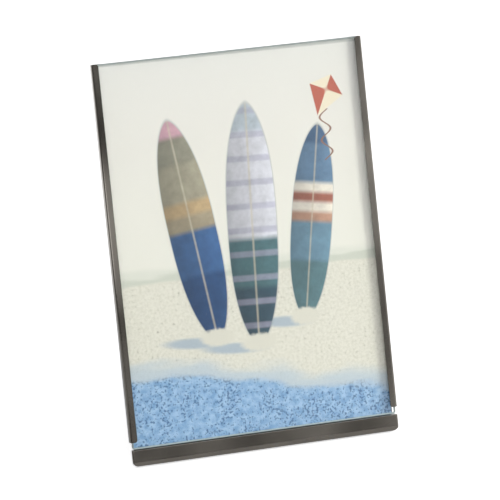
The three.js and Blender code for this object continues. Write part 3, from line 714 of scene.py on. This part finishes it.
# Each board: x and z of its middle, tilt, half width, half length, colour bands, and stripes.
BOARDS = [
    (33, 6, 9, 10, 46, [
        (0.0, "#587c84"), (0.30, "#6b8fa4"), (0.50, "#b98f78"), (0.55, "#e6dfd2"), (0.60, "#a0604f"),
        (0.65, "#e6dfd2"), (0.70, "#6484a2"), (0.90, "#49698c"),
    ], None),
    (-25, 8, -8, 11.5, 53, [
        (0.0, "#2b4f7d"), (0.30, "#3b6394"), (0.50, "#a3977f"), (0.57, "#bda37c"), (0.63, "#a09a86"),
        (0.80, "#8f8c7c"), (0.92, "#cfa3b0"),
    ], None),
    (4, 8, 2, 12, 57, [
        (0.0, "#35505f"), (0.24, "#4b7077"), (0.44, "#d3d3da"), (0.88, "#b8c2cb"),
    ], (32.0, "#a7a5ba")),
]


def inkjet_print():
    """Resin-coated photo paper, ink-jet printed: semi-gloss face, white back."""
    material, tree, place = new_material("photo_paper_inkjet_printed")
    plane = print_plane(tree, place)
    picture = beach(tree, plane)
    tails = []
    for x, z, tilt, half_width, half_length, _, _ in BOARDS:
        lean = math.radians(tilt)
        tails.append((x - half_length * math.sin(lean), z - half_length * math.cos(lean), half_width))
    for x, z, half_width in tails:
        half_shadow = SHADOW_SHARE * half_width
        picture = sand_shadow(
            tree, plane, picture, x - half_width, z, SHADOW_TILT, half_shadow, SHADOW_HALF_HEIGHT,
        )
    for board in BOARDS:
        picture = surfboard(tree, plane, picture, *board)
    for x, z, half_width in tails:
        half_heap = HEAP_SHARE * half_width
        picture = sand_heap(tree, plane, picture, x, z + HEAP_RISE, half_heap, HEAP_HALF_HEIGHT)
    picture = kite_tail(tree, plane, picture, *KITE_TAIL)
    picture = kite(tree, plane, picture, *KITE)
    depth = add_node(tree, "SeparateXYZ", {"Vector": plane}).outputs["Y"]
    sheet = laid_over(tree, linear("#efeee9"), picture, depth, INK_DEPTH_MM, 0.01)
    tooth = add_node(tree, "TexNoise", {"Vector": plane, "Scale": 1 / TOOTH_MM, "Detail": 2})
    bump = add_node(tree, "Bump", {"Height": tooth, "Strength": 0.05, "Distance": 0.02 * MM})
    shader = add_node(tree, "BsdfPrincipled", {
        "Base Color": sheet, "Roughness": 0.35, "IOR": 1.5, "Normal": bump,
    })
    add_node(tree, "OutputMaterial", {"Surface": shader})
    return material


frame["nodes"]["photo_print"].material_slots[0].material = inkjet_print()
print("print inked, leaning", [round(math.degrees(v), 2) for v in print_turn])

# %% [markdown]
# ## Floor
# A product picture stands on white. The floor is pale paper. To the camera and through the glass
# it glows a little, so that only the shadow darkens it, and reflections see it brighter towards
# the back, where the lit backdrop would stand.

# %% Floor
FLOOR_SIZE = 6.0
FLOOR_LIFT = 0.68
BACKDROP_LIFT = 1.1
BACKDROP_STARTS = 0.05
BACKDROP_FULL = 0.45


def plain_floor():
    """A big sheet of white paper under the frame."""
    material, tree, place = new_material("white_paper_sweep")
    ray = add_node(tree, "LightPath")
    seen = add_node(tree, "Math", {
        0: ray.outputs["Is Camera Ray"], 1: ray.outputs["Is Transmission Ray"],
    }, operation="MAXIMUM")
    towards_back = add_node(tree, "MapRange", {
        "Value": add_node(tree, "SeparateXYZ", {"Vector": place}).outputs["Y"],
        "From Min": BACKDROP_STARTS, "From Max": BACKDROP_FULL, "To Min": 0.0, "To Max": BACKDROP_LIFT,
    })
    mirrored = add_node(tree, "Math", {
        0: ray.outputs["Is Glossy Ray"], 1: towards_back,
    }, operation="MULTIPLY")
    lift = add_node(tree, "Math", {0: seen, 1: FLOOR_LIFT, 2: mirrored}, operation="MULTIPLY_ADD")
    matt = add_node(tree, "BsdfDiffuse", {"Color": (0.9, 0.9, 0.9, 1)})
    glow = add_node(tree, "Emission", {"Color": (1, 1, 1, 1), "Strength": lift})
    add_node(tree, "OutputMaterial", {"Surface": add_node(tree, "AddShader", {0: matt, 1: glow})})
    mesh = bpy.data.meshes.new("floor")
    half = FLOOR_SIZE / 2
    corners = [(-half, -half, 0), (half, -half, 0), (half, half, 0), (-half, half, 0)]
    mesh.from_pydata(corners, [], [(0, 1, 2, 3)])
    mesh.materials.append(material)
    floor = bpy.data.objects.new("floor", mesh)
    bpy.context.scene.collection.objects.link(floor)
    print(f"floor: {FLOOR_SIZE} m wide, lifted by {FLOOR_LIFT} for the camera")


plain_floor()

# %% [markdown]
# ## World
# The world gives even light all round, at a plain level, and is white for the camera. Metal and
# glass see it white too, but for the dim room behind the photographer, in front and on the left.
# That room ends softly where the light stands: towards the right, overhead and at the back.
# Without it the glass would veil the print, and the flat lips would have nothing to show the waves
# of their sheet with.

# %% World
WORLD_LEVEL = 0.42
DIM_LEVEL = 0.06
# Along each axis, where a unit direction leaves the dim room and where it is in full light.
DIM_ENDS = {"X": (0.20, 0.42), "Y": (-0.30, 0.30), "Z": (0.17, 0.50)}


def studio_world():
    """Even light from all round, and what camera, glossy and glass rays see of it."""
    world = bpy.data.worlds.new("studio")
    world.use_nodes = True
    tree = world.node_tree
    tree.nodes.clear()
    direction = add_node(tree, "SeparateXYZ", {"Vector": add_node(tree, "TexCoord").outputs["Generated"]})
    studio = DIM_LEVEL
    for axis, (starts, full) in DIM_ENDS.items():
        side = add_node(tree, "MapRange", {
            "Value": direction.outputs[axis], "From Min": starts, "From Max": full, "To Min": DIM_LEVEL,
        }, interpolation_type="SMOOTHSTEP")
        studio = add_node(tree, "Math", {0: studio, 1: side}, operation="MAXIMUM")
    ray = add_node(tree, "LightPath")
    reflected = add_node(tree, "Math", {
        0: ray.outputs["Is Glossy Ray"], 1: ray.outputs["Is Transmission Ray"],
    }, operation="MAXIMUM")
    lit = add_node(tree, "Mix", {"Factor": reflected, "A": WORLD_LEVEL, "B": studio})
    strength = add_node(tree, "Mix", {"Factor": ray.outputs["Is Camera Ray"], "A": lit, "B": 1.0})
    light = add_node(tree, "Background", {"Color": (1, 1, 1, 1), "Strength": strength})
    add_node(tree, "OutputWorld", {"Surface": light})
    bpy.context.scene.world = world
    print(f"world: level {WORLD_LEVEL}, dim room {DIM_LEVEL}")


studio_world()

# %% [markdown]
# ## Lamps
# A soft lamp on the right lays the shadow of the right lip on the print. A wider and weaker one
# stands in front, a little to the left, and fills that shadow in.

# %% Lamps
LAMP_DISTANCE = 1.6
to_the_right = Vector((1, 0, 0))


def soft_lamp(name, direction, size, power, colour):
    """A square soft box that faces the middle of the frame."""
    data = bpy.data.lights.new(name, "AREA")
    data.size = size
    data.energy = power
    data.color = linear(colour)[:3]
    lamp = bpy.data.objects.new(name, data)
    bpy.context.scene.collection.objects.link(lamp)
    lamp.location = pane_middle + direction.normalized() * LAMP_DISTANCE
    lamp.rotation_euler = direction.to_track_quat("Z", "Y").to_euler()
    print(name, "stands at", [round(v, 2) for v in lamp.location])


key_direction = 0.60 * pane_front + 0.80 * to_the_right + 0.45 * pane_up
fill_direction = pane_front - 0.2 * to_the_right + 0.3 * pane_up
soft_lamp("key_softbox", key_direction, size=0.36, power=10.1, colour="#fffdf8")
soft_lamp("fill_softbox", fill_direction, size=0.9, power=4.6, colour="#fbfcff")

# %% [markdown]
# ## Finish
# Colours should come out as they are written, so the view transform is Standard.

# %% Finish
bpy.context.scene.view_settings.view_transform = "Standard"
